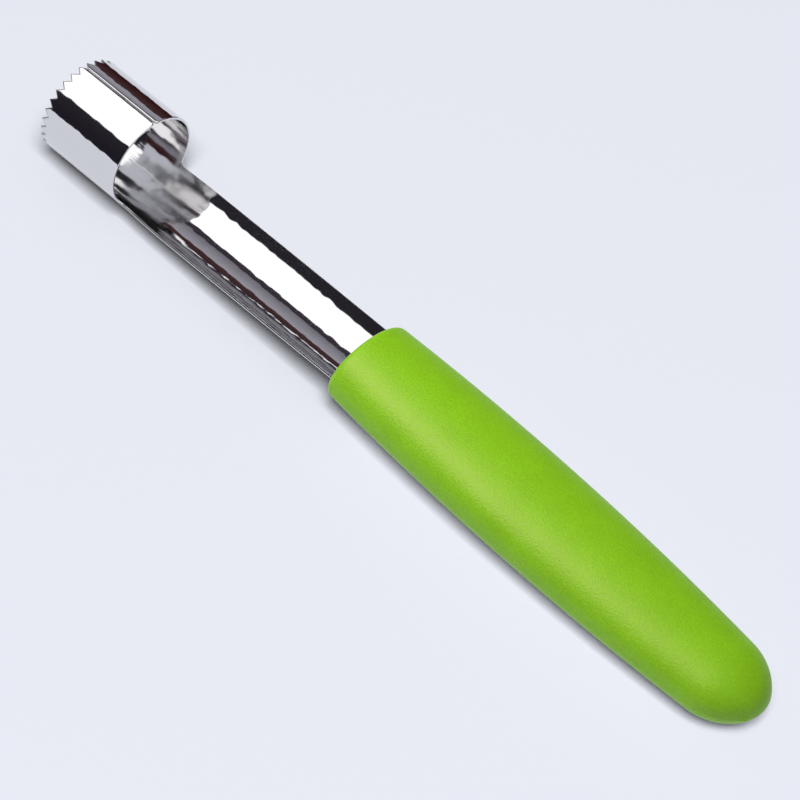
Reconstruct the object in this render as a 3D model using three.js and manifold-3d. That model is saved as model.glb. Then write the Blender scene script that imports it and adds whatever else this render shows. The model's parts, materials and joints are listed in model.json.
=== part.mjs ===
// Apple corer lying on a table: a rolled stainless blade with a toothed tube, a hard core moulded
// round the blade's tang and a grip moulded over the core. Millimetres, +Z up, origin on the table
// under the middle of the tool, +X from the teeth to the end of the handle.
import * as THREE from 'three';
import { LoftGeometry } from 'three/addons/geometries/LoftGeometry.js';
import { mergeVertices } from 'three/addons/utils/BufferGeometryUtils.js';
import Module from 'manifold-3d';

// Blade: one sheet, rolled to a tube whose lower wall runs on as a trough
const tubeDiameter = 20;
const tubeLength = 20.3;
const sheetThickness = 0.5;
const seamGap = 0.3;
const seamCornerRadius = 0.9;
const toothCount = 30;
const toothDepth = 1.3;
const toothTipWidth = 0.1;
const shankSpread = 109;
const shankLength = 58;
const rimCornerRadius = 1.2;

// Tang: the narrowed end of the sheet inside the handle, with punched locking holes
const tangSpread = 62;
const tangLength = 42;
const tangCornerRadius = 0.8;
const tangHoleDiameter = 4;
const tangHolePitch = 16;
const tangHoleInset = 7;

// Handle: an oval bar, set at a small angle to the blade, with its walls round the shank
const handleLength = 100.3;
const handlePitch = 4;
const wallBesideShank = 1.75;
const wallUnderShank = 3;
const wallOverShank = 6.4;
const middleSwell = 1.4;
const endNarrowing = 1.7;
const endThinning = 1.2;
const endCapLength = 10;
const frontEdgeRadius = 1.8;
const gripWall = 2.2;
const gripFrontWall = 3.5;
const wallBehindShoulders = 1.5;
const coreEdgeRadius = 1;
const mouldGap = 0.3;

// Fineness of the round forms, how far a cutter runs past what it cuts, and passes to settle the tool
const tubeFacets = 120;
const handleFacets = 48;
const edgeSteps = 4;
const bodySteps = 14;
const capSteps = 7;
const holeFacets = 24;
const cornerSteps = 6;
const overcut = 1;
const settlingPasses = 8;

const tubeRadius = tubeDiameter / 2;
const shankHalfAngle = THREE.MathUtils.degToRad(shankSpread / 2);
const tangHalfAngle = THREE.MathUtils.degToRad(tangSpread / 2);
const seamHalfAngle = seamGap / 2 / tubeRadius;
const handleFront = tubeLength + shankLength;
const tangStart = handleFront + gripFrontWall - wallBehindShoulders;
const tangEnd = handleFront + tangLength;

const shankHalfWidth = tubeRadius * Math.sin(shankHalfAngle);
const shankRise = tubeRadius * (1 - Math.cos(shankHalfAngle));
const frontHalfWidth = shankHalfWidth + wallBesideShank;
const frontHalfHeight = (wallUnderShank + shankRise + wallOverShank) / 2;
const frontHeight = frontHalfHeight - wallUnderShank - tubeRadius;

const alongX = new THREE.Vector3(1, 0, 0);
const alongY = new THREE.Vector3(0, 1, 0);
const alongZ = new THREE.Vector3(0, 0, 1);

const wasm = await Module();
wasm.setup();

// A closed geometry as a solid that can be joined and cut.
function solid(geometry) {
  const bare = new THREE.BufferGeometry();
  bare.setAttribute('position', geometry.getAttribute('position'));
  bare.setIndex(geometry.getIndex());
  const merged = mergeVertices(bare);
  const corners = merged.getIndex().array;
  const triangles = [];
  for (let i = 0; i < corners.length; i += 3) {
    const [a, b, c] = corners.slice(i, i + 3);
    if (a !== b && b !== c && c !== a) {
      triangles.push(a, b, c);
    }
  }
  const vertProperties = merged.getAttribute('position').array;
  const triVerts = new Uint32Array(triangles);
  return new wasm.Manifold(new wasm.Mesh({ numProp: 3, vertProperties, triVerts }));
}

// A solid back as a geometry.
function geometryOf(shape) {
  const { vertProperties, triVerts } = shape.getMesh();
  const geometry = new THREE.BufferGeometry();
  geometry.setAttribute('position', new THREE.BufferAttribute(vertProperties, 3));
  geometry.setIndex(new THREE.BufferAttribute(triVerts, 1));
  return geometry;
}

// A solid as a named mesh with its own material.
function pieceMesh(name, shape, material) {
  const geometry = geometryOf(shape);
  geometry.computeVertexNormals();
  const mesh = new THREE.Mesh(geometry, new THREE.MeshStandardMaterial(material));
  mesh.name = name;
  return mesh;
}

// A band of rolled sheet along the tube's axis, as wide as a half angle each way from its bottom.
function sheetBand(halfAngle, from, to, clearance = 0) {
  const facets = Math.ceil((halfAngle / Math.PI) * tubeFacets);
  const angles = Array.from({ length: facets + 1 }, (_, i) => halfAngle * ((2 * i) / facets - 1));
  const directions = angles.map((angle) => new THREE.Vector2(Math.sin(angle), -Math.cos(angle)));
  const outer = tubeRadius + clearance;
  const inner = tubeRadius - sheetThickness - clearance;
  const outside = directions.map((direction) => direction.clone().multiplyScalar(outer));
  const inside = directions.map((direction) => direction.clone().multiplyScalar(inner));
  return alongTube(new THREE.Shape([...outside, ...inside.reverse()]), from, to);
}

// An outline in the tube's cross-section, drawn out along the tube.
function alongTube(outline, from, to) {
  const geometry = new THREE.ExtrudeGeometry(outline, { depth: to - from, bevelEnabled: false });
  geometry.applyMatrix4(new THREE.Matrix4().makeBasis(alongY, alongZ, alongX));
  geometry.translate(from, 0, 0);
  return solid(geometry);
}

// A flat outline, drawn along the blade and round it, taken through the sheet at an angle from its bottom.
function throughSheet(outline, angle) {
  const outside = tubeRadius + overcut;
  const settings = { depth: outside - tubeRadius / 2, bevelEnabled: false, curveSegments: cornerSteps };
  const geometry = new THREE.ExtrudeGeometry(outline, settings);
  const round = new THREE.Vector3(0, Math.cos(angle), Math.sin(angle));
  const inward = new THREE.Vector3(0, -Math.sin(angle), Math.cos(angle));
  const place = new THREE.Matrix4().makeBasis(alongX, round, inward);
  place.setPosition(inward.clone().multiplyScalar(-outside));
  geometry.applyMatrix4(place);
  return solid(geometry);
}

// What is cut away beyond one edge of the sheet, from a step that turns into the edge in a round corner.
function besideEdge(side, halfAngle, from, radius) {
  const end = tangEnd + 2 * overcut;
  const outline = new THREE.Shape();
  outline.moveTo(from, side * tubeRadius);
  outline.lineTo(from, side * radius);
  outline.absarc(from + radius, side * radius, radius, Math.PI, (-side * Math.PI) / 2, side < 0);
  outline.lineTo(end, 0);
  outline.lineTo(end, side * tubeRadius);
  return throughSheet(outline, side * halfAngle);
}

// What is cut away over the shank, behind the tube's rim.
function overShank() {
  const floor = (-tubeRadius * Math.cos(shankHalfAngle)) / 2;
  const reach = tubeRadius + overcut;
  const outline = new THREE.Shape();
  outline.moveTo(-reach, floor);
  outline.lineTo(reach, floor);
  outline.lineTo(reach, reach);
  outline.lineTo(-reach, reach);
  return alongTube(outline, tubeLength, tangEnd + overcut);
}

// What is cut away to round the sheet's corner where the seam meets the tube's rim.
function seamCorner(side) {
  const radius = seamCornerRadius;
  const end = tubeLength + overcut;
  const seamMiddle = (side * seamGap) / 2;
  const outline = new THREE.Shape();
  outline.moveTo(tubeLength - radius, seamMiddle);
  outline.lineTo(tubeLength - radius, 0);
  outline.absarc(tubeLength - radius, -side * radius, radius, (side * Math.PI) / 2, 0, side > 0);
  outline.lineTo(end, -side * radius);
  outline.lineTo(end, seamMiddle);
  return throughSheet(outline, side * (Math.PI - seamHalfAngle));
}

// The V between two teeth.
function toothNotch(angle) {
  const pitch = (2 * Math.PI * tubeRadius) / toothCount;
  const mouth = ((pitch - toothTipWidth) / 2) * (1 + overcut / toothDepth);
  const outline = new THREE.Shape();
  outline.moveTo(toothDepth, 0);
  outline.lineTo(-overcut, mouth);
  outline.lineTo(-overcut, -mouth);
  return throughSheet(outline, angle);
}

// Round bars through the tang's holes, thinner than the holes by a clearance.
function holeBars(clearance) {
  const radius = tangHoleDiameter / 2 - clearance;
  const length = sheetThickness + 2 * overcut;
  const last = tangEnd - tangHoleInset;
  const bars = [last - tangHolePitch, last].map((x) => {
    const geometry = new THREE.CylinderGeometry(radius, radius, length, holeFacets);
    geometry.rotateX(Math.PI / 2);
    geometry.translate(x, 0, -tubeRadius + sheetThickness / 2);
    return solid(geometry);
  });
  return bars[0].add(bars[1]);
}

function bladeSolid() {
  let blade = sheetBand(Math.PI - seamHalfAngle, 0, tangEnd).subtract(overShank());
  for (const side of [-1, 1]) {
    blade = blade.subtract(besideEdge(side, shankHalfAngle, tubeLength, rimCornerRadius));
    blade = blade.subtract(besideEdge(side, tangHalfAngle, tangStart, tangCornerRadius));
    blade = blade.subtract(seamCorner(side));
  }
  for (let i = 0; i < toothCount; i += 1) {
    blade = blade.subtract(toothNotch(Math.PI + (i * 2 * Math.PI) / toothCount));
  }
  return blade.subtract(holeBars(0));
}

// The room that the shank and the tang take up in the handle.
function bladeRoom() {
  const spare = mouldGap / tubeRadius;
  let room = sheetBand(shankHalfAngle + spare, handleFront - overcut, tangEnd + mouldGap, mouldGap);
  for (const side of [-1, 1]) {
    room = room.subtract(besideEdge(side, tangHalfAngle + spare, tangStart + mouldGap, tangCornerRadius));
  }
  return room;
}

// A half size of the handle that runs in one smooth bow from the front through the middle to the end.
function bow(front, middle, end, share) {
  const atFront = front * (1 - share) * (1 - 2 * share);
  const atMiddle = middle * 4 * share * (1 - share);
  const atEnd = end * share * (2 * share - 1);
  return atFront + atMiddle + atEnd;
}

// One oval section of the handle at a distance behind its front face.
function handleSection(distance, inset, size) {
  const share = distance / handleLength;
  const width = bow(frontHalfWidth, frontHalfWidth + middleSwell, frontHalfWidth - endNarrowing, share);
  const height = bow(frontHalfHeight, frontHalfHeight, frontHalfHeight - endThinning, share);
  const points = [];
  for (let i = 0; i < handleFacets; i += 1) {
    const angle = (2 * Math.PI * i) / handleFacets;
    const y = (width - inset) * size * Math.cos(angle);
    const z = (height - inset) * size * Math.sin(angle);
    points.push(new THREE.Vector3(distance, y, z));
  }
  return points;
}

// The handle's form, or the same form set in by a wall, from a flat front to the rounded end.
function handleForm(inset, front, edgeRadius) {
  const capStart = handleLength - endCapLength;
  const capLength = endCapLength - inset;
  const sections = [];
  for (let i = 0; i <= edgeSteps; i += 1) {
    const angle = (i / edgeSteps) * (Math.PI / 2);
    const setIn = inset + edgeRadius * (1 - Math.sin(angle));
    sections.push(handleSection(front + edgeRadius * (1 - Math.cos(angle)), setIn, 1));
  }
  for (let i = 1; i <= bodySteps; i += 1) {
    const distance = THREE.MathUtils.lerp(front + edgeRadius, capStart, i / bodySteps);
    sections.push(handleSection(distance, inset, 1));
  }
  for (let i = 1; i <= capSteps; i += 1) {
    const angle = (i / capSteps) * (Math.PI / 2);
    const size = i < capSteps ? Math.cos(angle) : 0;
    sections.push(handleSection(capStart + capLength * Math.sin(angle), inset, size));
  }
  return new LoftGeometry(sections, { capStart: true });
}

function coreSolid(room) {
  const inset = gripWall + mouldGap;
  return solid(handleForm(inset, gripFrontWall + mouldGap, coreEdgeRadius)).subtract(room);
}

function gripSolid(room) {
  const outside = solid(handleForm(0, 0, frontEdgeRadius));
  const hollow = solid(handleForm(gripWall, gripFrontWall, coreEdgeRadius));
  return outside.subtract(hollow).subtract(room);
}

// The point of a piece that is lowest when the tool is tilted.
function lowestPoint(mesh, tilt) {
  const positions = mesh.geometry.getAttribute('position');
  const upwards = new THREE.Vector3(Math.sin(tilt), 0, Math.cos(tilt));
  const points = Array.from({ length: positions.count }, (_, i) => {
    return new THREE.Vector3().fromBufferAttribute(positions, i).applyMatrix4(mesh.matrixWorld);
  });
  return points.reduce((lowest, point) => (point.dot(upwards) < lowest.dot(upwards) ? point : lowest));
}

// The angle between the tube's axis and the table that the teeth and the grip both touch.
function lyingTilt(bladeMesh, gripMesh) {
  let tilt = 0;
  for (let i = 0; i < settlingPasses; i += 1) {
    const tooth = lowestPoint(bladeMesh, tilt);
    const heel = lowestPoint(gripMesh, tilt);
    tilt = Math.atan2(tooth.z - heel.z, heel.x - tooth.x);
  }
  return tilt;
}

// The handle's own frame: X along it from the middle of its front face.
const handle = new THREE.Group();
handle.position.set(handleFront, 0, frontHeight);
handle.rotation.y = THREE.MathUtils.degToRad(handlePitch);
handle.updateMatrix();

// A solid of the blade's frame, seen from the handle's frame.
function inHandle(shape) {
  return solid(geometryOf(shape).applyMatrix4(handle.matrix.clone().invert()));
}

const polishedSteel = { color: 0xd3d5db, metalness: 1, roughness: 0.08 };
const naturalPlastic = { color: 0xe2e2d6, metalness: 0, roughness: 0.5 };
const limeGrip = { color: 0x8cbe28, metalness: 0, roughness: 0.45 };

const room = bladeRoom();
const pluggedRoom = room.subtract(holeBars(mouldGap));
const blade = pieceMesh('corer_blade', bladeSolid(), polishedSteel);
const core = pieceMesh('handle_core', coreSolid(inHandle(pluggedRoom)), naturalPlastic);
const grip = pieceMesh('handle_grip', gripSolid(inHandle(room)), limeGrip);
handle.add(core, grip);

const corer = new THREE.Group();
corer.add(blade, handle);
corer.updateMatrixWorld(true);
corer.rotation.y = -lyingTilt(blade, grip);
corer.updateMatrixWorld(true);
const box = new THREE.Box3().setFromObject(corer, true);
const middle = box.getCenter(new THREE.Vector3());
corer.position.set(-middle.x, -middle.y, -box.min.z);

export default corer;
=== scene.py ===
"""Apple corer: a mirror-polished rolled steel blade in a lime green grip, on a pale floor."""

import json
import math

import bmesh
import bpy
import numpy as np
from mathutils import Matrix, Vector


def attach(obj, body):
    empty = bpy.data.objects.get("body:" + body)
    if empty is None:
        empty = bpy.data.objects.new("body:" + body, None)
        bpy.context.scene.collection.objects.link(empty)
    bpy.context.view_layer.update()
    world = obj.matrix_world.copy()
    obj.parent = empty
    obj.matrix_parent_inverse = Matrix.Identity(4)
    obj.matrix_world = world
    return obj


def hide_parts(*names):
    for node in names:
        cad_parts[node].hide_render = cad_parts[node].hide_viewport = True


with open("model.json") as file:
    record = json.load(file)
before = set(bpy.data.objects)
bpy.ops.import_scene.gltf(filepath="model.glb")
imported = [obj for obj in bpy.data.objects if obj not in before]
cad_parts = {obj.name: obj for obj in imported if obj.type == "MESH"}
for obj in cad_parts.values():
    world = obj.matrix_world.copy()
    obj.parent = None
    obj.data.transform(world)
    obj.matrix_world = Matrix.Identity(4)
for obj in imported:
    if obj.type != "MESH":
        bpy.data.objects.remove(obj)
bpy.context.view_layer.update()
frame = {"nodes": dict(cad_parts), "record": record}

bl_info = {
    "name": "Apple corer",
    "version": (1, 0, 0),
    "blender": (4, 5, 0),
    "location": "3D View > Sidebar > Corer",
    "description": "Builds the visible pieces of an apple corer and the studio round it",
    "category": "Object",
}

MM = 0.001


def linear(code):
    """A colour written as an sRGB hex value, in the linear light that shaders use."""
    shares = [int(code[i:i + 2], 16) / 255 for i in (1, 3, 5)]
    return tuple(c / 12.92 if c <= 0.04045 else ((c + 0.055) / 1.055) ** 2.4 for c in shares)


def length(name, description, millimetres):
    """A length that a user may change, given in millimetres and kept in metres."""
    return bpy.props.FloatProperty(
        name=name, description=description, default=millimetres * MM, unit="LENGTH", precision=5)


def angle(name, description, degrees):
    """An angle that a user may change, given in degrees and kept in radians."""
    return bpy.props.FloatProperty(
        name=name, description=description, default=math.radians(degrees), subtype="ANGLE")


def colour(name, description, code):
    """A colour that a user may change, given as an sRGB hex value."""
    return bpy.props.FloatVectorProperty(
        name=name, description=description, default=linear(code), subtype="COLOR", size=3,
        min=0, max=1)


def power(name, description, watts):
    """The power of a lamp that a user may change, in watts."""
    return bpy.props.FloatProperty(
        name=name, description=description, default=watts, unit="POWER")


class BladeSettings(bpy.types.PropertyGroup):
    """Sizes and colour of the rolled steel blade"""

    tube_diameter: length("Tube diameter", "Outside diameter of the toothed tube", 20)
    tube_length: length("Tube length", "From the tooth tips to the tube's rim", 20.3)
    sheet: length("Sheet thickness", "Thickness of the steel sheet", 0.5)
    seam_gap: length("Seam gap", "Gap between the sheet's two ends on top of the tube", 0.12)
    seam_lean: length("Seam lean", "How far the seam lies to the far side of the tube's top", 0.3)
    seam_corner: length(
        "Seam corner", "Radius of the sheet's corners where the seam meets the rim", 0.9)
    near_straight: length(
        "Near straight end", "Length that rolling leaves straight on the seam's near side", 1.75)
    near_curl: length("Near curl", "Length of the near end that is curled in at the seam", 0.4)
    near_radius: length("Near curl radius", "Radius of the near end's curl", 0.6)
    far_straight: length(
        "Far straight end", "Length that rolling leaves straight on the seam's far side", 0.3)
    far_curl: length("Far curl", "Length of the far end that is curled in at the seam", 0.85)
    far_radius: length("Far curl radius", "Radius of the far end's curl", 1.7)
    outer_rounding: length("Outer rounding", "Radius of the edges of the sheet's outer face", 0.25)
    inner_rounding: length("Inner rounding", "Radius of the edges of the sheet's inner face", 0.06)
    tooth_count: bpy.props.IntProperty(
        name="Teeth", description="Number of teeth round the tube, an even number",
        default=30, min=6)
    tooth_depth: length("Tooth depth", "From the tips to the roots of the teeth", 1.3)
    tooth_bevel: length(
        "Tooth bevel", "How far the ground edge of the teeth reaches along the tube", 0.38)
    tooth_edge: length(
        "Tooth edge", "How much of the sheet's thickness is ground off the teeth", 0.12)
    shank_spread: angle("Shank spread", "How much of the tube's round the trough keeps", 109)
    shank_length: length("Shank length", "From the tube's rim to the grip", 58)
    rim_corner: length("Rim corner", "Radius where the rim turns into the shank's edge", 1.2)
    shank_edge: length(
        "Shank edge", "Width along the trough's edges that rolling leaves straight", 1.95)
    shank_opening: length(
        "Shank opening", "How much the trough's radius grows behind the tube", 0.7)
    shank_rise: length("Shank rise", "How much the trough's bottom lies over the tube's", 0.15)
    tang_spread: angle("Tang spread", "How much of the tube's round the tang keeps", 62)
    tang_length: length("Tang length", "From the grip's front to the end of the sheet", 42)
    tang_setback: length("Tang setback", "From the grip's front to the shoulders of the tang", 2)
    tang_corner: length("Tang corner", "Radius where the shoulders turn into the tang", 0.8)
    hole_diameter: length("Hole diameter", "Diameter of the locking holes in the tang", 4)
    hole_pitch: length("Hole pitch", "Distance between the locking holes", 16)
    hole_inset: length("Hole inset", "From the sheet's end to the last hole", 7)
    steel: colour("Steel", "What polished stainless steel gives back of white light", "#DEDDDE")


class GripSettings(bpy.types.PropertyGroup):
    """Sizes and colour of the moulded grip"""

    grip_length: length("Grip length", "From the flat front to the rounded end", 100.3)
    pitch: angle("Pitch", "Angle between the grip and the blade", 4)
    half_width: length("Half width", "Half the grip's width at its front", 9.891)
    half_height: length("Half height", "Half the grip's height at its front", 6.797)
    swell: length("Swell", "How much wider each side is at the middle", 1.4)
    narrowing: length("Narrowing", "How much narrower each side is at the end", 1.7)
    thinning: length("Thinning", "How much lower each half is at the end", 1.2)
    cap_length: length("Cap length", "Length of the rounded end", 10)
    front_edge: length("Front edge", "Radius of the edge round the front", 1.3)
    wall: length("Wall", "Thickness of the grip over its core", 2.2)
    front_wall: length("Front wall", "Thickness of the grip in front of its core", 3.5)
    core_edge: length("Core edge", "Radius of the hollow's front edge", 0.5)
    blade_drop: length(
        "Blade drop", "How far the grip's middle lies under the tube's axis at its front", 6.203)
    mount_rise: length(
        "Mount rise", "How far the front mount lies over the middle of the front", 1.5)
    slot_clearance: length("Slot clearance", "Room between the sheet and the grip's slot", 0.04)
    line_height: length("Parting line height", "How far the mould's parting line stands out", 0.1)
    line_width: length("Parting line width", "Width of the mould's parting line", 0.35)
    gate_size: length("Gate size", "Width of the mark where the mould was filled", 1.6)
    gate_height: length("Gate height", "How far that mark stands out", 0.25)
    gate_side: length("Gate side", "How far that mark lies beside the grip's middle", 3.44)
    bulge_height: length(
        "Bulge height", "How far the shallow bulge in the near side stands out", 0.22)
    bulge_back: length("Bulge place", "From the front to the middle of that bulge", 41)
    bulge_reach: length("Bulge reach", "How far that bulge reaches along the grip", 6)
    lime: colour("Lime", "The plastic's own colour", "#8AC614")


class CoreSettings(bpy.types.PropertyGroup):
    """Colour of the hard core inside the grip"""

    natural: colour("Natural plastic", "The uncoloured plastic of the core", "#E2E2D6")


class StageSettings(bpy.types.PropertyGroup):
    """Camera, floor and lights"""

    lens: length("Lens", "Focal length of the camera", 180)
    distance: length("Distance", "From the camera to the point it looks at", 731.94)
    azimuth: angle("Azimuth", "Where the camera stands round the tool, from +X", -54.354)
    elevation: angle("Elevation", "How high the camera stands over the tool", 49.807)
    roll: angle("Roll", "How far the camera is turned about its own line of sight", -12.356)
    aim: bpy.props.FloatVectorProperty(
        name="Aim", description="The point that the camera looks at",
        default=(0.098 * MM, -1.033 * MM, 7 * MM), subtype="TRANSLATION", precision=5)
    floor: colour("Floor", "The pale floor", "#E8EBF4")
    # The tones of the velvet, skirt, card and timber are painted light and shade on glowing cards:
    # the velvet is lighter close to the softbox, the card darker at its top, away from the light
    flag: colour("Flag", "The dark velvet on the near side, seen in the metal", "#211F26")
    flag_top: colour("Flag top", "The velvet close to the softbox", "#2C2A30")
    skirt: colour("Skirt", "The softbox's dark skirt on the far side, seen in the metal", "#3D363F")
    card: colour("Card", "The foot of the grey card on the far side, seen in the metal", "#A8A6AF")
    card_top: colour("Card top", "The top of the grey card, away from the light", "#7A7981")
    timber: colour("Timber", "The dark brown table behind the floor, seen in the metal", "#35181A")
    timber_top: colour("Timber top", "The brown board that stands on the table", "#4B3537")
    fill: bpy.props.FloatProperty(
        name="Fill", description="Light from all round, as a share of the light on the floor",
        default=0.05, subtype="FACTOR", min=0, max=1)
    floor_lamp: power("Floor lamp", "The lamp over the floor", 685)
    floor_fill: power("Floor fill", "The wide soft light on the floor", 7)
    softbox: power("Softbox", "The wide softbox over the grip", 36)
    grip_lamp: power("Grip lamp", "The small lamp over the grip", 1.55)
    sheen_lamp: power("Sheen lamp", "The lamp that shows as the grip's sheen", 6)
    sheen: colour("Sheen", "The warm colour of that lamp", "#FFB8BC")
    panel: bpy.props.FloatProperty(
        name="Panel", description="How bright the softbox shows in the metal, where 1 is white",
        default=1.5, min=0)


def add_node(tree, kind, inputs=None, **settings):
    """Adds a node with its settings, and sets its sockets to values or links them to outputs."""
    made = tree.nodes.new(kind)
    for name, value in settings.items():
        setattr(made, name, value)
    for socket, value in (inputs or {}).items():
        if isinstance(value, bpy.types.NodeSocket):
            tree.links.new(value, made.inputs[socket])
        else:
            made.inputs[socket].default_value = value
    return made


def new_material(name):
    """An empty node material and its tree."""
    material = bpy.data.materials.new(name)
    material.use_nodes = True
    material.node_tree.nodes.clear()
    return material, material.node_tree


# Stainless steel sheet, rolled and then mirror-polished: bright and clean, with a slow waviness
# from the rolls that makes straight reflections wander, and faint polishing lines along the blade.
# The wheel doesn't reach well into the tube, least of all by its rim, so the inside reflects more
# softly there. The teeth's ground faces are rougher and darker, at half the steel's colour
def polished_stainless_steel(steel):
    material, tree = new_material("stainless_steel_mirror_polished")
    place = add_node(tree, "ShaderNodeTexCoord").outputs["Object"]
    wave_width, wave_height = 1.8 * MM, 0.035 * MM
    # Polishing lines are about 0.02 mm apart; they are drawn coarser so that they show
    line_pitch, line_length, line_height = 0.3 * MM, 12 * MM, 0.0006 * MM
    smear_width = 9 * MM
    softer_in_tube, rougher_on_teeth, tooth_shade = 0.1, 0.25, 0.5
    waves = add_node(tree, "ShaderNodeTexNoise", {
        "Vector": place, "Scale": 1 / wave_width, "Detail": 0.0})
    along = add_node(tree, "ShaderNodeMapping", {
        "Vector": place, "Scale": (1 / line_length, 1 / line_pitch, 1 / line_pitch)})
    lines = add_node(tree, "ShaderNodeTexNoise", {
        "Vector": along.outputs[0], "Scale": 1.0, "Detail": 2.0})
    smears = add_node(tree, "ShaderNodeTexNoise", {
        "Vector": place, "Scale": 1 / smear_width, "Detail": 3.0})
    rough = add_node(tree, "ShaderNodeMapRange", {
        "Value": smears.outputs["Fac"], "From Min": 0.3, "From Max": 0.75,
        "To Min": 0.035, "To Max": 0.075})
    unpolished = add_node(tree, "ShaderNodeAttribute", attribute_name="unpolished").outputs["Fac"]
    softer = add_node(tree, "ShaderNodeMath", {
        0: unpolished, 1: softer_in_tube, 2: rough.outputs[0]}, operation="MULTIPLY_ADD")
    ground = add_node(tree, "ShaderNodeAttribute", attribute_name="ground").outputs["Fac"]
    rougher = add_node(tree, "ShaderNodeMath", {
        0: ground, 1: rougher_on_teeth, 2: softer.outputs[0]}, operation="MULTIPLY_ADD")
    # The teeth's ground faces are drawn at half the steel's colour
    darkened_steel = tuple(c * tooth_shade for c in steel)
    tint = add_node(tree, "ShaderNodeMix", {
        0: ground, 6: (*steel, 1), 7: (*darkened_steel, 1)}, data_type="RGBA")
    wavy = add_node(tree, "ShaderNodeBump", {
        "Height": waves.outputs["Fac"], "Distance": wave_height, "Strength": 1.0})
    lined = add_node(tree, "ShaderNodeBump", {
        "Height": lines.outputs["Fac"], "Distance": line_height, "Strength": 1.0,
        "Normal": wavy.outputs["Normal"]})
    shader = add_node(tree, "ShaderNodeBsdfPrincipled", {
        "Base Color": tint.outputs[2], "Metallic": 1.0, "Roughness": rougher.outputs[0],
        "Normal": lined.outputs["Normal"]})
    add_node(tree, "ShaderNodeOutputMaterial", {"Surface": shader.outputs[0]})
    return material


# Soft thermoplastic, moulded in a spark-eroded steel mould: a fine pebbled grain that keeps the
# highlights wide and dull, and a colour that runs through the whole plastic
def moulded_lime_plastic(lime):
    material, tree = new_material("thermoplastic_moulded_lime")
    place = add_node(tree, "ShaderNodeTexCoord").outputs["Object"]
    grain_width, grain_height = 0.38 * MM, 0.085 * MM
    cloud_width, cloud_share = 6 * MM, 0.3
    contrast = 0.3
    grain = add_node(tree, "ShaderNodeTexNoise", {
        "Vector": place, "Scale": 1 / grain_width, "Detail": 2.0})
    cloud = add_node(tree, "ShaderNodeTexNoise", {
        "Vector": place, "Scale": 1 / cloud_width, "Detail": 3.0})
    deep = tuple(c * (1 - contrast) for c in lime)
    pale = tuple(min(1, c * (1 + contrast)) for c in lime)
    mottle = add_node(tree, "ShaderNodeMix", {
        0: cloud_share, 2: grain.outputs["Fac"], 3: cloud.outputs["Fac"]})
    tint = add_node(tree, "ShaderNodeMix", {
        0: mottle.outputs[0], 6: (*deep, 1), 7: (*pale, 1)}, data_type="RGBA")
    rough = add_node(tree, "ShaderNodeMapRange", {
        "Value": grain.outputs["Fac"], "From Min": 0.3, "From Max": 0.7,
        "To Min": 0.42, "To Max": 0.54})
    pebbled = add_node(tree, "ShaderNodeBump", {
        "Height": grain.outputs["Fac"], "Distance": grain_height, "Strength": 1.0})
    shader = add_node(tree, "ShaderNodeBsdfPrincipled", {
        "Base Color": tint.outputs[2], "Roughness": rough.outputs[0], "IOR": 1.5,
        "Specular IOR Level": 0.45, "Normal": pebbled.outputs["Normal"]})
    add_node(tree, "ShaderNodeOutputMaterial", {"Surface": shader.outputs[0]})
    return material


# Natural polypropylene, moulded and left uncoloured: milky, slightly waxy, with flow marks
def natural_polypropylene(natural):
    material, tree = new_material("polypropylene_natural_moulded")
    place = add_node(tree, "ShaderNodeTexCoord").outputs["Object"]
    flow_width, flow_height, cloudiness = 5 * MM, 0.02 * MM, 0.1
    flow = add_node(tree, "ShaderNodeTexNoise", {
        "Vector": place, "Scale": 1 / flow_width, "Detail": 4.0, "Distortion": 1.0})
    cloudy = tuple(c * (1 - cloudiness) for c in natural)
    tint = add_node(tree, "ShaderNodeMix", {
        0: flow.outputs["Fac"], 6: (*cloudy, 1), 7: (*natural, 1)}, data_type="RGBA")
    marks = add_node(tree, "ShaderNodeBump", {
        "Height": flow.outputs["Fac"], "Distance": flow_height, "Strength": 1.0})
    shader = add_node(tree, "ShaderNodeBsdfPrincipled", {
        "Base Color": tint.outputs[2], "Roughness": 0.5, "IOR": 1.49,
        "Normal": marks.outputs["Normal"]})
    add_node(tree, "ShaderNodeOutputMaterial", {"Surface": shader.outputs[0]})
    return material


# Matt painted board: even and pale. The camera sees through it from below, so that the tool's
# underside can be looked at
def painted_floor(floor):
    material, tree = new_material("board_painted_matt_pale")
    paint = add_node(tree, "ShaderNodeBsdfDiffuse", {"Color": (*floor, 1)})
    clear = add_node(tree, "ShaderNodeBsdfTransparent")
    under = add_node(tree, "ShaderNodeNewGeometry").outputs["Backfacing"]
    looked_at = add_node(tree, "ShaderNodeLightPath").outputs["Is Camera Ray"]
    seen_under = add_node(tree, "ShaderNodeMath", {0: under, 1: looked_at}, operation="MULTIPLY")
    shader = add_node(tree, "ShaderNodeMixShader", {
        0: seen_under.outputs[0], 1: paint.outputs[0], 2: clear.outputs[0]})
    add_node(tree, "ShaderNodeOutputMaterial", {"Surface": shader.outputs[0]})
    return material


# Velvet, card and boards at the studio's edges, which only the metal shows: matt, and glowing in
# the tone that the studio's light would give each, so that their light and shade are painted on
def studio_cards():
    material, tree = new_material("card_and_cloth_glowing")
    tone = add_node(tree, "ShaderNodeAttribute", attribute_name="tone").outputs["Color"]
    # The cards glow with their painted tones, though they are no lamps
    shader = add_node(tree, "ShaderNodeEmission", {"Color": tone, "Strength": 1.0})
    add_node(tree, "ShaderNodeOutputMaterial", {"Surface": shader.outputs[0]})
    material.cycles.emission_sampling = "NONE"
    return material


def grip_place(grip):
    """The grip's own frame: X along it from the middle of its front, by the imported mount."""
    mount = next(m for m in frame["record"]["mounts"] if m["name"] == "front_shoulder")
    along = -Vector(mount["axis"]).normalized()
    across = Vector((0, 1, 0))
    upward = along.cross(across)
    origin = Vector(mount["pos_m"]) - grip.mount_rise * upward
    place = Matrix((along, across, upward)).transposed().to_4x4()
    place.translation = origin
    return place


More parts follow.
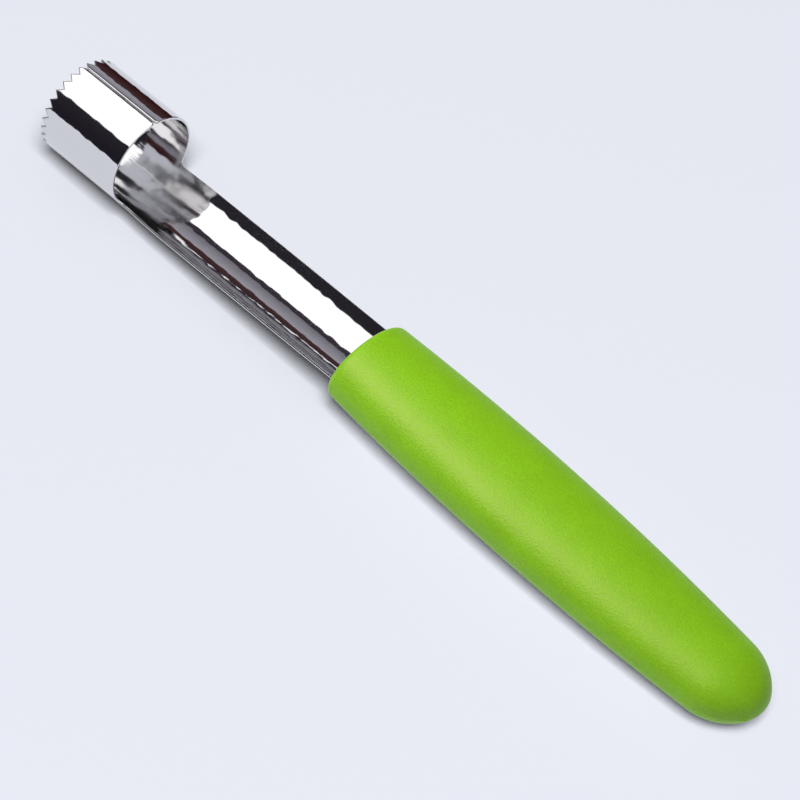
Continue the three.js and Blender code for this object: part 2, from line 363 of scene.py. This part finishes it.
def blade_place(blade, grip):
    """The blade's own frame: X along the tube's axis from the tooth tips."""
    front = blade.tube_length + blade.shank_length
    seen_from_blade = Matrix.Translation((front, 0, -grip.blade_drop))
    seen_from_blade @= Matrix.Rotation(grip.pitch, 4, "Y")
    return grip_place(grip) @ seen_from_blade.inverted()


def tube_radius(blade):
    """The tube's outside radius, in millimetres."""
    return blade.tube_diameter / 2 / MM


def seam_end(blade):
    """How far the flat blank reaches round from its middle to the seam, in millimetres."""
    return math.pi * tube_radius(blade) - blade.seam_gap / 2 / MM


def neighbours(ring):
    """Each point of a closed ring with the next one."""
    return zip(ring, ring[1:] + ring[:1])


def arc(centre, radius, start, turn, steps=8):
    """Points on an arc from a start angle through a turn."""
    angles = [start + turn * i / steps for i in range(steps + 1)]
    return [(centre[0] + radius * math.cos(a), centre[1] + radius * math.sin(a)) for a in angles]


def tooth_line(blade):
    """The tips and roots of the teeth on half of the flat blank, from the seam to the middle."""
    top = math.pi * tube_radius(blade)
    end = seam_end(blade)
    pitch = 2 * top / blade.tooth_count
    depth = blade.tooth_depth / MM
    points = [(depth * (1 - (top - end) / (pitch / 2)), end)]
    for i in range(blade.tooth_count // 2):
        middle = top - (i + 0.5) * pitch
        points += [(0, middle), (depth, middle - pitch / 2)]
    return points


def half_outline(blade):
    """One half of the flat blank from the tang to the teeth, in millimetres along and round it."""
    radius = tube_radius(blade)
    rim = blade.tube_length / MM
    front = rim + blade.shank_length / MM
    shoulder = front + blade.tang_setback / MM
    last = front + blade.tang_length / MM
    shank = radius * blade.shank_spread / 2
    tang = radius * blade.tang_spread / 2
    end = seam_end(blade)
    tang_corner = blade.tang_corner / MM
    rim_corner = blade.rim_corner / MM
    seam_corner = blade.seam_corner / MM
    quarter = math.pi / 2
    points = [(last, tang)]
    points += arc((shoulder + tang_corner, tang + tang_corner), tang_corner, -quarter, -quarter)
    points += [(shoulder, shank)]
    points += arc((rim + rim_corner, shank + rim_corner), rim_corner, -quarter, -quarter)
    points += arc((rim - seam_corner, end - seam_corner), seam_corner, 0, quarter)
    points += [(x + blade.tooth_bevel / MM, s) for x, s in tooth_line(blade)]
    return points


def mirrored(points):
    """Points of one half of the blank, followed by those of the other half back from the middle."""
    return points + [(x, -s) for x, s in reversed(points[:-1])]


def flat_blank(blade):
    """The stamped sheet before rolling, in millimetres: X along it, Y round it, Z inward."""
    last = (blade.tube_length + blade.shank_length + blade.tang_length - blade.hole_inset) / MM
    hole, hole_steps = blade.hole_diameter / 2 / MM, 32
    places = (last, last - blade.hole_pitch / MM)
    holes = [arc((x, 0), hole, 0, 2 * math.pi, hole_steps)[:-1] for x in places]
    blank = bmesh.new()
    for loop in holes + [mirrored(half_outline(blade))]:
        corners = [blank.verts.new((x, s, 0)) for x, s in loop]
        for pair in neighbours(corners):
            blank.edges.new(pair)
    bmesh.ops.triangle_fill(blank, use_beauty=True, edges=blank.edges[:], normal=(0, 0, 1))
    # The outline came last: the ground strip joins its stretch behind the teeth to their edge
    edge = [blank.verts.new((x, s, 0)) for x, s in mirrored(tooth_line(blade))]
    skipped = (len(corners) - len(edge)) // 2
    behind = corners[skipped:skipped + len(edge)]
    for i in range(len(edge) - 1):
        blank.faces.new((edge[i], edge[i + 1], behind[i + 1], behind[i]))
    grown = bmesh.ops.extrude_face_region(blank, geom=blank.faces[:])
    inner = [v for v in grown["geom"] if isinstance(v, bmesh.types.BMVert)]
    bmesh.ops.translate(blank, verts=inner, vec=(0, 0, blade.sheet / MM))
    bmesh.ops.translate(blank, verts=edge, vec=(0, 0, blade.tooth_edge / MM))
    bmesh.ops.recalc_face_normals(blank, faces=blank.faces[:])
    return blank


def round_edges(blank, blade):
    """Rounds the sheet's edges all round, except those of the teeth, which are ground."""
    depth = blade.tooth_depth / MM
    end = seam_end(blade)
    crease, touching, seam_room, steps = 1, 1e-4, 1e-3, 4
    for height, rounding in ((0, blade.outer_rounding), (blade.sheet / MM, blade.inner_rounding)):
        edges = []
        for edge in blank.edges:
            a, b = (v.co for v in edge.verts)
            middle = (a + b) / 2
            level = max(abs(a.z - height), abs(b.z - height)) < touching
            sharp = edge.calc_face_angle(0) > crease
            tooth = middle.x < depth + touching and abs(middle.y) < end - seam_room
            if level and sharp and not tooth:
                edges.append(edge)
        bmesh.ops.bevel(
            blank, geom=edges, offset=rounding / MM, offset_type="OFFSET", segments=steps,
            profile=0.5, affect="EDGES", clamp_overlap=False)


def cut_columns(blank, blade):
    """Cuts the blank in narrow columns, and its trough in rows too, so that it can be rolled."""
    turn, row, touching = 2, 2, 1e-5
    column = math.radians(turn) * tube_radius(blade)
    columns = 180 // turn
    rows = int(blade.shank_length / MM / row)
    rim = blade.tube_length / MM
    cuts = [((0, i * column, 0), (0, 1, 0)) for i in range(-columns, columns + 1)]
    cuts += [((rim + i * row, 0, 0), (1, 0, 0)) for i in range(1, rows + 1)]
    for point, normal in cuts:
        bmesh.ops.bisect_plane(
            blank, geom=blank.verts[:] + blank.edges[:] + blank.faces[:], dist=touching,
            plane_co=point, plane_no=normal)


def ease(value, start, end):
    """A share that eases from 0 at a start to 1 at an end."""
    share = np.clip((value - start) / (end - start), 0, 1)
    return share * share * (3 - 2 * share)


def rolled_place(blade, flat):
    """Where points of the flat blank lie once it is rolled to tube and trough, in millimetres."""
    x, s, depth = flat.T
    radius = tube_radius(blade)
    rim = blade.tube_length / MM
    front = rim + blade.shank_length / MM
    # Behind the rim the trough's edges turn straight, and it opens, then closes up to the grip
    edge_starts, edge_straight = rim + 0.6, rim + 7
    opening_starts, widest, closing = rim + 1.2, rim + 12, 2.5
    edged = ease(x, edge_starts, edge_straight)
    closed = np.clip((x - widest) / (front - widest), 0, 1) ** closing
    opened = ease(x, opening_starts, widest) * (1 - closed)
    far = s > 0
    curl = np.where(far, blade.far_curl, blade.near_curl) / MM
    straight = np.where(far, blade.far_straight, blade.near_straight) / MM
    lean = np.where(far, -1, 1) * blade.seam_lean / MM
    seam = math.pi * radius + lean - blade.seam_gap / 2 / MM - straight - curl
    trough = radius * blade.shank_spread / 2 - edged * blade.shank_edge / MM
    in_tube = x < rim + blade.rim_corner / MM
    parts = (
        (np.where(in_tube, seam, trough), 1 / (radius + opened * blade.shank_opening / MM)),
        (np.where(in_tube, straight, math.pi * radius), 0),
        (curl, MM / np.where(far, blade.far_radius, blade.near_radius)),
    )
    # The sheet is drawn to the seam's side over its upper part
    lean_starts, lean_full = radius, 2.8 * radius
    left = np.abs(s) + lean * ease(np.abs(s), lean_starts, lean_full)
    turn, y, z = 0, 0, opened * blade.shank_rise / MM - radius
    for reach, curvature in parts:
        run = np.minimum(left, reach)
        half = run * curvature / 2
        chord = run * np.sinc(half / math.pi)
        y = y + chord * np.cos(turn + half)
        z = z + chord * np.sin(turn + half)
        turn = turn + 2 * half
        left = left - run
    y = (y - depth * np.sin(turn)) * np.sign(s)
    return np.stack([x, y, z + depth * np.cos(turn)], -1)


def corner_normals(mesh):
    """Corner normals of the flat blank: level on its two faces, smooth round its edges."""
    crease, level_tilt, upright_tilt = math.radians(50), 0.9999, 0.05
    mesh.polygons.foreach_set("use_smooth", [True] * len(mesh.polygons))
    mesh.set_sharp_from_angle(angle=crease)
    normals = np.zeros(len(mesh.loops) * 3)
    mesh.corner_normals.foreach_get("vector", normals)
    normals = normals.reshape(-1, 3)
    corners = np.zeros(len(mesh.loops), int)
    mesh.loops.foreach_get("vertex_index", corners)
    faces = np.repeat(np.arange(len(mesh.polygons)), [p.loop_total for p in mesh.polygons])
    tilt = np.array([p.normal.z for p in mesh.polygons])[faces]
    level = np.abs(tilt) > level_tilt
    beside_level = np.zeros(len(mesh.vertices), bool)
    beside_level[corners[level]] = True
    flattened = level | (beside_level[corners] & (np.abs(tilt) > upright_tilt))
    normals[flattened] = 0
    normals[flattened, 2] = np.sign(tilt[flattened])
    return normals


def mark_finish(mesh, blade, flat):
    """Marks where the blank's polish is softer, inside the tube, and where teeth are ground."""
    rim = blade.tube_length / MM
    deep_inside = 0.28
    by_rim = ease(flat[:, 0], rim - 5, rim + 1)
    past_rim = ease(flat[:, 0], rim + 2, rim + 12)
    inner_face = flat[:, 2] > blade.sheet / MM / 2
    unpolished = inner_face * (deep_inside + (1 - deep_inside) * by_rim) * (1 - past_rim)
    mesh.attributes.new("unpolished", "FLOAT", "POINT").data.foreach_set("value", unpolished)
    roots = (blade.tooth_depth + blade.tooth_bevel) / MM
    level = 0.95
    ground = [float(p.center.x < roots and abs(p.normal.z) < level) for p in mesh.polygons]
    mesh.attributes.new("ground", "FLOAT", "FACE").data.foreach_set("value", ground)


def roll(mesh, blade, place):
    """Rolls the flat blank to tube and trough in its place, with its corner normals."""
    flat = np.zeros(len(mesh.vertices) * 3)
    mesh.vertices.foreach_get("co", flat)
    flat = flat.reshape(-1, 3)
    normals = corner_normals(mesh)
    corners = np.zeros(len(mesh.loops), int)
    mesh.loops.foreach_get("vertex_index", corners)
    # The slopes of the bend along the blank's three axes turn its normals
    step = 1e-3
    along, around, inward = (
        (rolled_place(blade, flat + step * axis) - rolled_place(blade, flat - step * axis))[corners]
        for axis in np.eye(3))
    turned = normals[:, 0:1] * np.cross(around, inward)
    turned += normals[:, 1:2] * np.cross(inward, along)
    turned += normals[:, 2:3] * np.cross(along, around)
    turned /= np.linalg.norm(turned, axis=1, keepdims=True)
    laid = np.array(place)
    rolled = rolled_place(blade, flat) * MM
    mark_finish(mesh, blade, flat)
    mesh.vertices.foreach_set("co", (rolled @ laid[:3, :3].T + laid[:3, 3]).ravel())
    mesh.normals_split_custom_set((turned @ laid[:3, :3].T).tolist())
    mesh.update()


def new_piece(name, mesh, material, node):
    """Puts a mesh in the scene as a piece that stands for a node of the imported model."""
    piece = bpy.data.objects.new(name, mesh)
    bpy.context.scene.collection.objects.link(piece)
    mesh.materials.append(material)
    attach(piece, "root")
    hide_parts(node)
    # Light that the piece throws on the pale floor is left out, so that the floor stays neutral
    piece.visible_diffuse = False


class CORER_OT_add_blade(bpy.types.Operator):
    """Build the stamped and rolled steel blade with its teeth, seam, trough and tang"""

    bl_idname = "corer.add_blade"
    bl_label = "Add blade"

    def execute(self, context):
        blade, grip = context.scene.corer_blade, context.scene.corer_grip
        if blade.tooth_count % 2:
            raise ValueError("the number of teeth is even, so that the seam lies between two teeth")
        blank = flat_blank(blade)
        round_edges(blank, blade)
        cut_columns(blank, blade)
        # Cuts that pass close to a corner leave edges too short to show, which are closed up
        shortest_edge = 0.005
        bmesh.ops.remove_doubles(blank, verts=blank.verts[:], dist=shortest_edge)
        mesh = bpy.data.meshes.new("rolled_blade")
        blank.to_mesh(mesh)
        blank.free()
        roll(mesh, blade, blade_place(blade, grip))
        steel = polished_stainless_steel(blade.steel)
        new_piece("rolled_blade", mesh, steel, "corer_blade")
        return {"FINISHED"}


def bow(front, middle, end, share):
    """A half size that runs in one smooth bow from the front through the middle to the end."""
    at_front = front * (1 - share) * (1 - 2 * share)
    at_middle = middle * 4 * share * (1 - share)
    at_end = end * share * (2 * share - 1)
    return at_front + at_middle + at_end


def grip_rings(grip, inset, front, edge, edge_steps, body_steps, cap_steps, points):
    """The grip's form, or that form set in by a wall, as rings from front to end."""
    total = grip.grip_length / MM
    cap_start = total - grip.cap_length / MM
    width, height = grip.half_width / MM, grip.half_height / MM
    quarter = math.pi / 2
    stations = []
    for a in np.linspace(0, quarter, edge_steps + 1):
        stations.append((front + edge * (1 - math.cos(a)), inset + edge * (1 - math.sin(a)), 1))
    for d in np.linspace(front + edge, cap_start, body_steps + 1)[1:]:
        stations.append((d, inset, 1))
    for a in np.linspace(0, quarter, cap_steps + 1)[1:]:
        reach = (grip.cap_length / MM - inset) * math.sin(a)
        stations.append((cap_start + reach, inset, math.cos(a)))
    distance, set_in, size = np.array(stations).T[:, :, None]
    share = distance / total
    turn = np.linspace(0, 2 * math.pi, points, endpoint=False)
    # Points lie closer at mid height, where the parting line runs
    crowding = 0.43
    turn = turn - crowding * np.sin(2 * turn)
    wide = bow(width, width + grip.swell / MM, width - grip.narrowing / MM, share)
    high = bow(height, height, height - grip.thinning / MM, share)
    y = (wide - set_in) * size * np.cos(turn)
    z = (high - set_in) * size * np.sin(turn)
    return np.stack([np.broadcast_to(distance, y.shape), y, z], -1)


def ring_normals(rings):
    """Outward normals of a grid of rings."""
    along = np.gradient(rings, axis=0)
    around = np.roll(rings, -1, axis=1) - np.roll(rings, 1, axis=1)
    normals = np.cross(around, along)
    size = np.linalg.norm(normals, axis=-1, keepdims=True)
    normals = normals / np.maximum(size, 1e-9)
    normals[-1] = (1, 0, 0)
    return normals


def mould_marks(grip, rings):
    """Raises the parting line, the gate mark and the shallow bulge on the grip's outside."""
    x, y, z = np.moveaxis(rings, -1, 0)
    edge = grip.front_edge / MM
    line_start = 0.4 * edge
    from_front = np.clip((x - line_start) / edge, 0, 1)
    line = grip.line_height * np.exp(-(z / (grip.line_width / MM / 2)) ** 2) * from_front
    off_gate = np.hypot(y + grip.gate_side / MM, z) / (grip.gate_size / MM / 2)
    on_cap = x > (grip.grip_length - grip.cap_length) / MM
    gate = grip.gate_height * np.exp(-off_gate ** 4) * on_cap
    toward, spread = math.radians(20), math.radians(17)
    along = (x - grip.bulge_back / MM) / (grip.bulge_reach / MM)
    around = (np.arctan2(z, -y) - toward) / spread
    bulge = grip.bulge_height * np.exp(-along ** 2 - around ** 2)
    return rings + ring_normals(rings) * ((line + gate + bulge) / MM)[..., None]


def slot_outline(blade, grip, spread, distance):
    """The slot round the shank or the tang, on a plane at a distance behind the grip's front."""
    spare = grip.slot_clearance / MM
    sheet = blade.sheet / MM
    side = tube_radius(blade) * spread / 2
    outer = blade.outer_rounding / MM + spare
    inner = blade.inner_rounding / MM + spare
    quarter = math.pi / 2
    steps, corner_steps, flat_share = 48, 5, 0.95
    across = [side * (2 * i / steps - 1) * flat_share for i in range(steps + 1)]
    low, high = outer - spare, sheet + spare - inner
    section = [(s, -spare) for s in across]
    section += arc((side + spare - outer, low), outer, -quarter, quarter, corner_steps)
    section += arc((side + spare - inner, high), inner, 0, quarter, corner_steps)
    section += [(-s, sheet + spare) for s in across]
    section += arc((inner - spare - side, high), inner, quarter, quarter, corner_steps)
    section += arc((outer - spare - side, low), outer, 2 * quarter, quarter, corner_steps)
    front = (blade.tube_length + blade.shank_length) / MM
    flat = np.array([(front, s, depth) for s, depth in section])
    y, z = rolled_place(blade, flat).T[1:]
    rise = (z + grip.blade_drop / MM) / math.cos(grip.pitch) + distance * math.tan(grip.pitch)
    return np.stack([np.full_like(y, distance), y, rise], -1)


def bridge(shape, near, far, smooth):
    """Faces between two rings with the same number of corners."""
    for (a, b), (c, d) in zip(neighbours(near), neighbours(far)):
        shape.faces.new((a, b, d, c)).smooth = smooth


def loft(shape, rings, slot):
    """Faces over rings that end in a point, and a flat front round a slot. Gives its corners."""
    grid = [[shape.verts.new(p) for p in ring] for ring in rings[:-1]]
    pole = shape.verts.new(rings[-1].mean(0))
    for near, far in zip(grid, grid[1:]):
        bridge(shape, near, far, smooth=True)
    for a, b in neighbours(grid[-1]):
        shape.faces.new((a, b, pole)).smooth = True
    rim = [shape.verts.new(p) for p in slot]
    edges = [shape.edges.get(pair) for pair in neighbours(grid[0])]
    edges += [shape.edges.new(pair) for pair in neighbours(rim)]
    bmesh.ops.triangle_fill(shape, use_beauty=True, edges=edges, normal=(-1, 0, 0))
    return rim


class CORER_OT_add_grip(bpy.types.Operator):
    """Build the moulded grip: a closed shell over the core, with its slot and its mould marks"""

    bl_idname = "corer.add_grip"
    bl_label = "Add grip"

    def execute(self, context):
        blade, grip = context.scene.corer_blade, context.scene.corer_grip
        front_wall = grip.front_wall / MM
        shoulders = (blade.tang_setback + grip.slot_clearance) / MM
        outside = mould_marks(grip, grip_rings(
            grip, inset=0, front=0, edge=grip.front_edge / MM,
            edge_steps=14, body_steps=90, cap_steps=30, points=176))
        hollow = grip_rings(
            grip, inset=grip.wall / MM, front=front_wall, edge=grip.core_edge / MM,
            edge_steps=5, body_steps=14, cap_steps=8, points=48)
        shape = bmesh.new()
        outer = loft(shape, outside, slot_outline(blade, grip, blade.shank_spread, 0))
        inner = loft(shape, hollow, slot_outline(blade, grip, blade.tang_spread, front_wall))
        # The slot narrows to the tang behind the tang's shoulders
        behind = slot_outline(blade, grip, blade.shank_spread, shoulders)
        middle = [shape.verts.new(p) for p in behind]
        bridge(shape, outer, middle, smooth=False)
        bridge(shape, middle, inner, smooth=False)
        bmesh.ops.recalc_face_normals(shape, faces=shape.faces[:])
        mesh = bpy.data.meshes.new("moulded_grip")
        shape.to_mesh(mesh)
        shape.free()
        mesh.transform(grip_place(grip) @ Matrix.Scale(MM, 4))
        plastic = moulded_lime_plastic(grip.lime)
        new_piece("moulded_grip", mesh, plastic, "handle_grip")
        return {"FINISHED"}


class CORER_OT_finish_core(bpy.types.Operator):
    """Give the core inside the grip the finish of natural moulded plastic"""

    bl_idname = "corer.finish_core"
    bl_label = "Finish core"

    def execute(self, context):
        core = frame["nodes"]["handle_core"]
        if not core.material_slots:
            raise ValueError("the packed core has no material slot")
        core.material_slots[0].material = natural_polypropylene(context.scene.corer_core.natural)
        return {"FINISHED"}


def stage_plane(name, corners, material):
    """A flat piece of the studio, which isn't part of the tool."""
    mesh = bpy.data.meshes.new(name)
    mesh.from_pydata(corners, [], [range(len(corners))])
    mesh.materials.append(material)
    plane = bpy.data.objects.new(name, mesh)
    bpy.context.scene.collection.objects.link(plane)
    return plane


def stage_card(name, low, high, low_tone, high_tone, material):
    """A card that shows only in the metal, between a low and a high line, each a pair of points."""
    card = stage_plane(name, [*low, *reversed(high)], material)
    # The card's glow holds its painted light and shade, graded from the low line to the high one
    tones = card.data.color_attributes.new("tone", "FLOAT_COLOR", "POINT")
    tones.data.foreach_set("color", [*low_tone, 1] * 2 + [*high_tone, 1] * 2)
    card.visible_camera = False
    card.visible_diffuse = False
    card.visible_shadow = False
    card.visible_transmission = False


def studio_reflections(stage):
    """The softbox and what stands round it, as the metal shows them, from near to far."""
    cards = studio_cards()
    # Metres along the tool, across it and over the floor
    reach = 3.2
    table, skirt_edge, panel_edge, far = 0.15, 1.21, 0.7, 2.0
    foot, board_top, box_edge, panel_height = 0.001, 1.06, 1.98, 2.0
    sides = (
        ("near_flag", (-1.9, 0.04), (-1.84, box_edge), stage.flag, stage.flag_top),
        ("box_skirt", (skirt_edge, box_edge), (panel_edge, box_edge), stage.skirt, stage.skirt),
        ("far_card", (far, board_top), (skirt_edge, box_edge), stage.card, stage.card_top),
        ("far_board", (far, foot), (far, board_top), stage.timber, stage.timber_top),
        ("far_table", (table, foot), (far, foot), stage.timber, stage.timber),
    )
    for name, low, high, low_tone, high_tone in sides:
        lines = [((-reach, *line), (reach, *line)) for line in (low, high)]
        stage_card(name, *lines, low_tone, high_tone, cards)
    ends = [((-reach, -far, z), (-reach, far, z)) for z in (foot, board_top)]
    stage_card("end_board", *ends, stage.timber, stage.timber_top, cards)
    panel = [((-2.7, y, panel_height), (1.1, y, panel_height)) for y in (-1.8, panel_edge)]
    stage_card("softbox_panel", *panel, [stage.panel] * 3, [stage.panel] * 3, cards)


def studio_lamps(stage, floor, grip):
    """A lamp and a wide soft light for the floor and for the grip, and one for the grip's sheen."""
    white = (1, 1, 1)
    overhead = (-2.7, -1.65, 1.97), (1.1, 1.65, 1.97)
    # Each lamp is a level rectangle between two corners, in metres, and lights one thing
    lamps = (
        ("floor_lamp", (0.55, -4.83, 7), (3.85, -0.97, 7), stage.floor_lamp, white, floor),
        ("floor_fill", *overhead, stage.floor_fill, white, floor),
        ("softbox", *overhead, stage.softbox, white, grip),
        ("grip_lamp", (-0.36, -0.235, 0.45), (-0.05, 0, 0.45), stage.grip_lamp, white, grip),
        ("sheen_lamp", (-0.5, -0.313, 0.6), (-0.1, -0.147, 0.6),
         stage.sheen_lamp, stage.sheen, grip),
    )
    for name, low, high, watts, tint, lit in lamps:
        data = bpy.data.lights.new(name, "AREA")
        data.shape = "RECTANGLE"
        data.size, data.size_y = high[0] - low[0], high[1] - low[1]
        data.energy, data.color = watts, tint
        # The pieces are hidden from scattered rays, so lamps are sampled straight, where they shade
        data.cycles.use_multiple_importance_sampling = False
        lamp = bpy.data.objects.new(name, data)
        lamp.location = (Vector(low) + Vector(high)) / 2
        lamp.visible_camera = False
        lamp.visible_diffuse = name != "sheen_lamp"
        lamp.visible_glossy = name == "sheen_lamp"
        bpy.context.scene.collection.objects.link(lamp)
        receivers = bpy.data.collections.new(name + "_receivers")
        receivers.objects.link(lit)
        lamp.light_linking.receiver_collection = receivers


def studio_world(stage):
    """Pale all round for the eye and for gloss, and a plain level of light for everything else."""
    world = bpy.data.worlds.new("studio")
    bpy.context.scene.world = world
    world.use_nodes = True
    tree = world.node_tree
    tree.nodes.clear()
    path = add_node(tree, "ShaderNodeLightPath")
    eye = add_node(tree, "ShaderNodeMath", {
        0: path.outputs["Is Camera Ray"], 1: path.outputs["Is Glossy Ray"]}, operation="MAXIMUM")
    shown = add_node(tree, "ShaderNodeMath", {
        0: eye.outputs[0], 1: path.outputs["Is Transmission Ray"]}, operation="MAXIMUM")
    level = add_node(tree, "ShaderNodeMapRange", {
        "Value": shown.outputs[0], "To Min": stage.fill, "To Max": 1.0})
    tone = add_node(tree, "ShaderNodeMix", {
        0: shown.outputs[0], 6: (1, 1, 1, 1), 7: (*stage.floor, 1)}, data_type="RGBA")
    light = add_node(tree, "ShaderNodeBackground", {
        "Color": tone.outputs[2], "Strength": level.outputs[0]})
    add_node(tree, "ShaderNodeOutputWorld", {"Surface": light.outputs[0]})


def studio_camera(stage):
    """The camera, placed round its aim point by its azimuth, elevation and roll."""
    data = bpy.data.cameras.new("camera")
    data.lens = stage.lens / MM
    data.clip_start = 0.01
    camera = bpy.data.objects.new("camera", data)
    bpy.context.scene.collection.objects.link(camera)
    level, height = math.cos(stage.elevation), math.sin(stage.elevation)
    back = Vector((level * math.cos(stage.azimuth), level * math.sin(stage.azimuth), height))
    turned = (-back).to_track_quat("-Z", "Y").to_matrix().to_4x4()
    turned @= Matrix.Rotation(-stage.roll, 4, "Z")
    camera.matrix_world = Matrix.Translation(Vector(stage.aim) + back * stage.distance) @ turned
    bpy.context.scene.camera = camera


class CORER_OT_add_stage(bpy.types.Operator):
    """Set up the floor, the lamps, the cards that show in the metal, the world and the camera"""

    bl_idname = "corer.add_stage"
    bl_label = "Add stage"

    def execute(self, context):
        stage = context.scene.corer_stage
        grip = bpy.data.objects.get("moulded_grip")
        if grip is None:
            raise ValueError("the grip is built before the stage, because lamps light it alone")
        context.scene.view_settings.view_transform = "Standard"
        # The floor lies a hair under the tool, so that the two don't share a plane
        reach, under = 6, -0.05 * MM
        signs = ((-1, -1), (1, -1), (1, 1), (-1, 1))
        corners = [(reach * x, reach * y, under) for x, y in signs]
        floor = stage_plane("floor", corners, painted_floor(stage.floor))
        studio_reflections(stage)
        studio_lamps(stage, floor, grip)
        studio_world(stage)
        studio_camera(stage)
        return {"FINISHED"}


class CORER_PT_panel(bpy.types.Panel):
    """The corer's pieces and sizes in the sidebar"""

    bl_label = "Apple corer"
    bl_space_type = "VIEW_3D"
    bl_region_type = "UI"
    bl_category = "Corer"

    def draw(self, context):
        groups = (
            (CORER_OT_add_blade, context.scene.corer_blade),
            (CORER_OT_add_grip, context.scene.corer_grip),
            (CORER_OT_finish_core, context.scene.corer_core),
            (CORER_OT_add_stage, context.scene.corer_stage),
        )
        for operator, settings in groups:
            box = self.layout.box()
            box.operator(operator.bl_idname)
            for name in settings.bl_rna.properties.keys():
                if name not in {"rna_type", "name"}:
                    box.prop(settings, name)


settings_classes = {
    "corer_blade": BladeSettings,
    "corer_grip": GripSettings,
    "corer_core": CoreSettings,
    "corer_stage": StageSettings,
}
interface_classes = (
    CORER_OT_add_blade, CORER_OT_add_grip, CORER_OT_finish_core, CORER_OT_add_stage, CORER_PT_panel)


def register():
    for name, group in settings_classes.items():
        bpy.utils.register_class(group)
        setattr(bpy.types.Scene, name, bpy.props.PointerProperty(type=group))
    for made in interface_classes:
        bpy.utils.register_class(made)


def unregister():
    for made in reversed(interface_classes):
        bpy.utils.unregister_class(made)
    for name, group in settings_classes.items():
        delattr(bpy.types.Scene, name)
        bpy.utils.unregister_class(group)


def main():
    """Builds the corer and its stage."""
    register()
    bpy.ops.corer.add_blade()
    bpy.ops.corer.add_grip()
    bpy.ops.corer.finish_core()
    bpy.ops.corer.add_stage()


if __name__ == "__main__":
    main()
